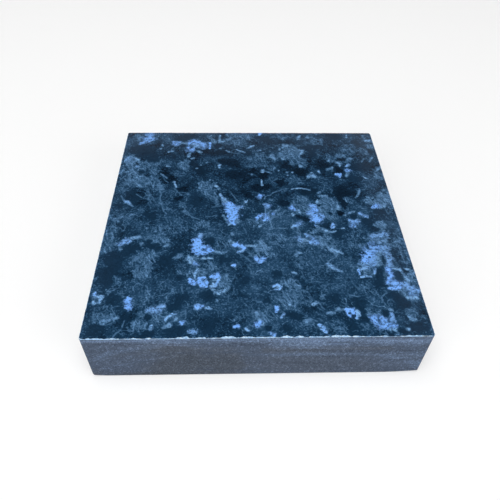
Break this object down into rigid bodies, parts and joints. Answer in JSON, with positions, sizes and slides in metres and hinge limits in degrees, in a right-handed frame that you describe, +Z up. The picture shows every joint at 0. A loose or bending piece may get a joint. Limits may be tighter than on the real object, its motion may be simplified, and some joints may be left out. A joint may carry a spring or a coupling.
{
  "type": "engineered stone tile",
  "caption": "Square slab tile of pressed stone with a mottled dark blue face, sawn grey sides and a finely chipped pale edge; laid in adhesive as a floor, wall or worktop finish.",
  "frame": {"origin": "middle of the bed face, the plain underside that is laid in adhesive", "axes": "+Z up through the thickness to the decorated face, +X and +Y along the sawn sides"},
  "size_m": [0.1, 0.1, 0.02],
  "materials": {
    "stone": "polished mottled dark blue face over sawn matt grey sides"
  },
  "bodies": {
    "root": {"tile": "stone"}
  },
  "joints": []
}
